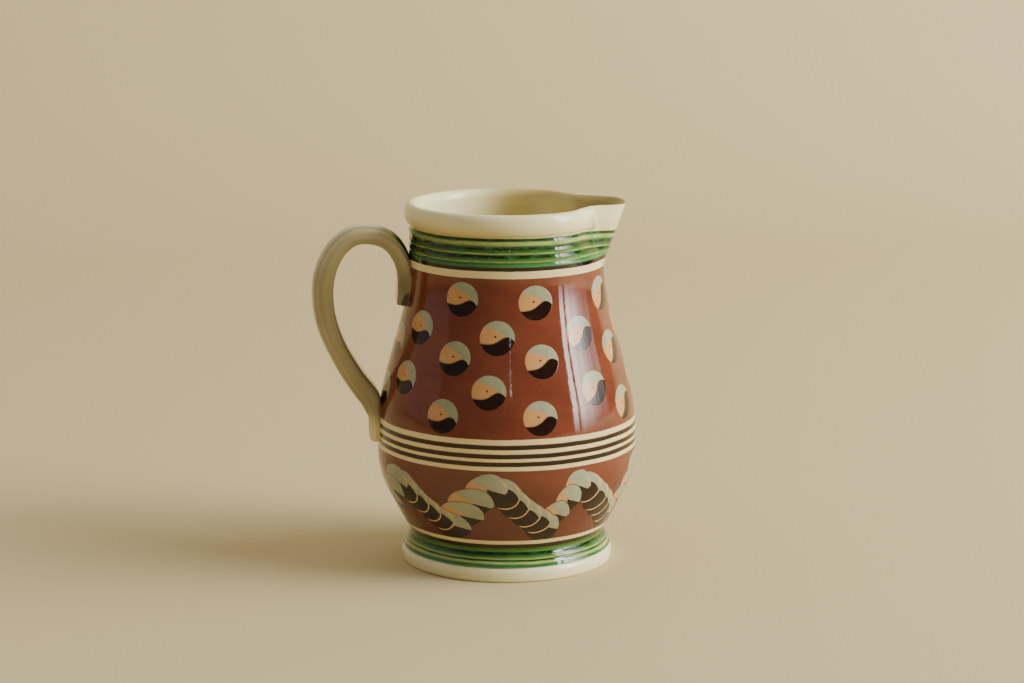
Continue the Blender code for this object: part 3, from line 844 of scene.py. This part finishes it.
def strapMaterial():
    look = SimpleNamespace(**strapLook)
    material, shader = startGlaze("strapGlaze")
    place = flow.add("TexCoord", out="Object")
    x, y, z = axes(place)
    height, reach = z * 1000.0, x * -1000.0
    drift = noise(place, look.drift, 3.0) - 0.5
    reed = attribute("strapReed") + (noise(place, look.reedDrift) - 0.5) * 0.5
    out = attribute("strapOut")
    colour = twoTone(fade(noise(place, look.patches, 3.0), *look.patchEdge) * look.patchShare, "olive", "oliveDeep")
    # painted light: the strap is paler towards its top
    colour = blend(fade(height + drift * 8.0, *look.paleFrom) * look.paleShare, colour, slip["oliveLit"])
    colour = blend(fade(reed, *look.reed) * look.reedShare, colour, slip["oliveDeep"])
    # painted shade on the strap's inner side, which faces the body
    colour = blend((1.0 - fade(out, *look.back)) * look.backShare, colour, slip["oliveDeep"])
    # painted highlight along the middle of the strap's outer face
    colour = blend(attribute("strapEdge") * look.edgeShare, colour, slip["creamPale"])
    colour = blend(1.0 - fade(height + drift * 6.0, *look.creamUnder), colour, slip["creamDeep"])

    # green slip that the brush left where the strap meets the neck, and a dark corner at the strap's root that is
    # partly dark slip and partly painted shade
    green = fade(height + drift * 8.0, *look.greenFrom) * (1.0 - fade(reach + drift * 5.0, *look.greenWithin))
    green = green * fade(out + drift * 0.12, *look.greenOut)
    colour = blend(green * look.greenShare, colour, twoTone(fade(reach, *look.darkFrom), "greenDark", "emeraldDeep"))
    # dark slip and painted shade in the corner at the strap's root
    corner = (height - look.smearHeight) * look.smearSlope + (reach - look.smearReach) + drift * 3.0
    smearAndShade = (1.0 - fade(corner, *look.smearEdge)) * fade(height, *look.smearFrom)
    smearAndShade = smearAndShade * (1.0 - fade(height, *look.smearTo))
    join(blend(smearAndShade, colour, slip["rustDark"]), shader, "Base Color")

    cloudy = fade(noise(place, gloss["strapScale"], 3.0), 0.4, 0.8)
    join(gloss["strap"] + cloudy * gloss["strapSpread"], shader, "Roughness")
    values = {"Height": noise(place, look.ripple, 3.0), "Strength": look.strength, "Distance": look.distance}
    join(flow.add("Bump", {}, values), shader, "Normal")
    return material


# The union drops the strap's own attributes, so they are set again from its nearest point.
def strapFields(joined, strapData):
    places = meshPlaces(strapData)
    section = strapSection(1.0, 1.0, strap["crown"])
    across = np.arange(len(places)) % len(section)
    onFace = across <= strap["across"]
    spot = 2.0 * across / strap["across"]
    reed = 0.5 + 0.5 * np.cos(math.pi * strap["reeds"] * spot)
    fields = {
        "strapReed": np.where(onFace, reed, 0.0),
        "strapEdge": np.where(onFace, 1.0 - smoothStep(*strap["sheenLine"], np.abs(spot - 1.0)), 0.0),
        "strapOut": section[across, 1] + 0.5,
    }
    tree = KDTree(len(places))
    for index, place in enumerate(places):
        tree.insert(place, index)
    tree.balance()
    own = {corner for face in joined.polygons if face.material_index == 1 for corner in face.vertices}
    nearest = {corner: tree.find(joined.vertices[corner].co)[1] for corner in own}
    for name, values in fields.items():
        spread = np.zeros(len(joined.vertices))
        for corner, index in nearest.items():
            spread[corner] = values[index]
        setAttribute(joined, name, spread)


def makePitcher():
    mesh = turnedMesh("thrownBody", bodyOutline())
    pitcher = show("mochaware_pitcher", mesh)
    turned = meshPlaces(mesh)
    decorationFields(mesh, turned)
    mesh.vertices.foreach_set("co", pullLip(turned).ravel())
    strapPiece = show("strapTool", strapMesh("strapTool"))
    for piece in (pitcher, strapPiece):
        piece.data.materials.append(bodySlip)
        piece.data.materials.append(strapGlaze)
    strapPiece.data.polygons.foreach_set("material_index", [1] * len(strapPiece.data.polygons))
    print("body", len(mesh.polygons), "faces, strap", len(strapPiece.data.polygons))
    union = pitcher.modifiers.new("Luting", "BOOLEAN")
    union.operation = "UNION"
    union.solver = "EXACT"
    union.object = strapPiece
    joined = bpy.data.meshes.new_from_object(pitcher.evaluated_get(bpy.context.evaluated_depsgraph_get()))
    pitcher.modifiers.remove(union)
    pitcher.data = joined
    strapFields(joined, strapPiece.data)
    bpy.data.objects.remove(strapPiece)
    joined.shade_smooth()
    joined.set_sharp_from_angle(angle=math.radians(40.0))
    print("pitcher", len(joined.polygons), "faces")
    return pitcher


# The camera stands where the photograph was taken from, seen in the object's own frame.
camera = dict(turn=6.0, away=1.2434, height=0.3558, lens=90.42, sensor=36.0, reach=20.0, aimDrop=11.26, aimLeft=0.127)


def makeCamera():
    data = bpy.data.cameras.new("photoCamera")
    data.lens = camera["lens"]
    data.sensor_width = camera["sensor"]
    data.clip_end = camera["reach"]
    holder = show("photoCamera", data)
    turn = math.radians(camera["turn"])
    holder.location = (-math.sin(turn) * camera["away"], -math.cos(turn) * camera["away"], camera["height"])
    tilt, heading = 90.0 - camera["aimDrop"], -camera["turn"] - camera["aimLeft"]
    holder.rotation_euler = (math.radians(tilt), 0.0, math.radians(heading))
    bpy.context.scene.camera = holder


stage = dict(near=-2.5, far=0.9, curve=0.5, top=2.2, half=4.0, runs=16, colour=tint(206, 188, 143), roughness=0.9)


def makeStage():
    line = [(stage["near"], 0.0), (stage["far"], 0.0)]
    for angle in np.linspace(0.0, math.pi / 2.0, stage["runs"])[1:]:
        line.append((stage["far"] + stage["curve"] * math.sin(angle), stage["curve"] * (1.0 - math.cos(angle))))
    line.append((stage["far"] + stage["curve"], stage["top"]))
    places = [(side * stage["half"], y, z) for y, z in line for side in (-1.0, 1.0)]
    faces = [(2 * i, 2 * i + 1, 2 * i + 3, 2 * i + 2) for i in range(len(line) - 1)]
    mesh = newMesh("paleSweep", places, faces)
    mesh.shade_smooth()
    sweep = show("paleSweep", mesh)
    material = bpy.data.materials.new("palePaper")
    material.use_nodes = True
    shader = material.node_tree.nodes["Principled BSDF"]
    shader.inputs["Base Color"].default_value = stage["colour"]
    shader.inputs["Roughness"].default_value = stage["roughness"]
    mesh.materials.append(material)


# A light whose work is "lit" isn't seen in reflections, and one whose work is "mirrored" is only seen there.
# headShade is the share of its colour that is left at its upper edge.
def makeLight(name, place, aim, size, power, colour, work="both", headShade=1.0):
    data = bpy.data.lights.new(name, "AREA")
    data.shape = "RECTANGLE"
    data.size, data.size_y = size
    data.energy = power
    data.color = colour
    if headShade < 1.0:
        data.use_nodes = True
        flow.tree = data.node_tree
        down = axes(flow.add("NewGeometry", out="Parametric"))[1]
        shade = blend(fade(down, 0.0, window["shadeDepth"]), (headShade,) * 3 + (1.0,), (1.0,) * 4)
        join(shade, data.node_tree.nodes["Emission"], "Color")
    holder = show(name, data)
    holder.location = place
    holder.visible_glossy = work != "lit"
    holder.visible_diffuse = work != "mirrored"
    holder.rotation_euler = (Vector(aim) - Vector(place)).to_track_quat("-Z", "Y").to_euler()


# The window on the right. Each pane spans two angles, counted from the camera's direction towards the right.
window = dict(
    away=2.6, low=-0.05, high=2.5, colour=(1.0, 0.975, 0.93), headShade=0.2, shadeDepth=0.23,
    panes=((62.0, 67.0, 56.0), (69.5, 75.0, 60.0), (75.0, 79.0, 44.0), (79.0, 84.0, 42.0),
           (84.0, 89.0, 25.0), (89.0, 94.0, 15.0), (94.0, 104.0, 8.0)),   # from, to, brightness
)

# The soft lights of the room: place, aim, size, power, colour and work.
room = dict(
    upperPane=((2.55, -0.5, 3.2), (0.0, 0.0, 0.17), (0.65, 0.45), 34.0, window["colour"], "mirrored"),
    daylight=((2.55, 0.05, 1.3), (0.0, 0.0, 0.1), (1.6, 2.4), 68.0, window["colour"], "lit"),
    ceiling=((-0.9, 0.0, 2.6), (0.0, 0.0, 0.1), (2.6, 2.6), 22.0, (1.0, 0.97, 0.92), "lit"),
    farWall=((-2.6, 0.45, 1.2), (0.0, 0.0, 0.1), (3.0, 2.4), 4.0, (1.0, 0.95, 0.90)),
)

# A row of small bright gaps, each with its height and its own length, and the dim light from all sides.
glints = dict(
    place=(-0.05, -1.30), aim=(0.0, 0.0, 0.1), width=0.010, colour=(1.0, 1.0, 1.0),
    gaps=((0.572, 0.006), (0.535, 0.020), (0.505, 0.010), (0.478, 0.014)),
)
dimness = dict(colour=(1.0, 0.96, 0.90, 1.0), strength=0.16)


def makeLights():
    middle = (window["low"] + window["high"]) / 2.0
    tall = window["high"] - window["low"]
    for index, (start, end, brightness) in enumerate(window["panes"]):
        heading = math.radians((start + end) / 2.0 - camera["turn"])
        wide = 2.0 * window["away"] * math.tan(math.radians(end - start) / 2.0)
        place = (math.sin(heading) * window["away"], -math.cos(heading) * window["away"], middle)
        makeLight("windowPane" + str(index + 1), place, (0.0, 0.0, middle), (wide, tall),
                  brightness * wide * tall, window["colour"], headShade=window["headShade"])
    for name, values in room.items():
        makeLight(name, *values)
    for height, length in glints["gaps"]:
        makeLight("glint", glints["place"] + (height,), glints["aim"], (glints["width"], length),
                  length, glints["colour"])
    world = bpy.data.worlds.new("softRoom")
    bpy.context.scene.world = world
    world.use_nodes = True
    background = world.node_tree.nodes["Background"]
    background.inputs["Color"].default_value = dimness["colour"]
    background.inputs["Strength"].default_value = dimness["strength"]


makeCamera()
makeStage()
makeLights()
print("camera, stage and lights are up")
bodySlip = bodyMaterial()
strapGlaze = strapMaterial()
print("glazes are mixed")
pitcherPiece = makePitcher()
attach(pitcherPiece, "root")
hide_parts("pitcher")
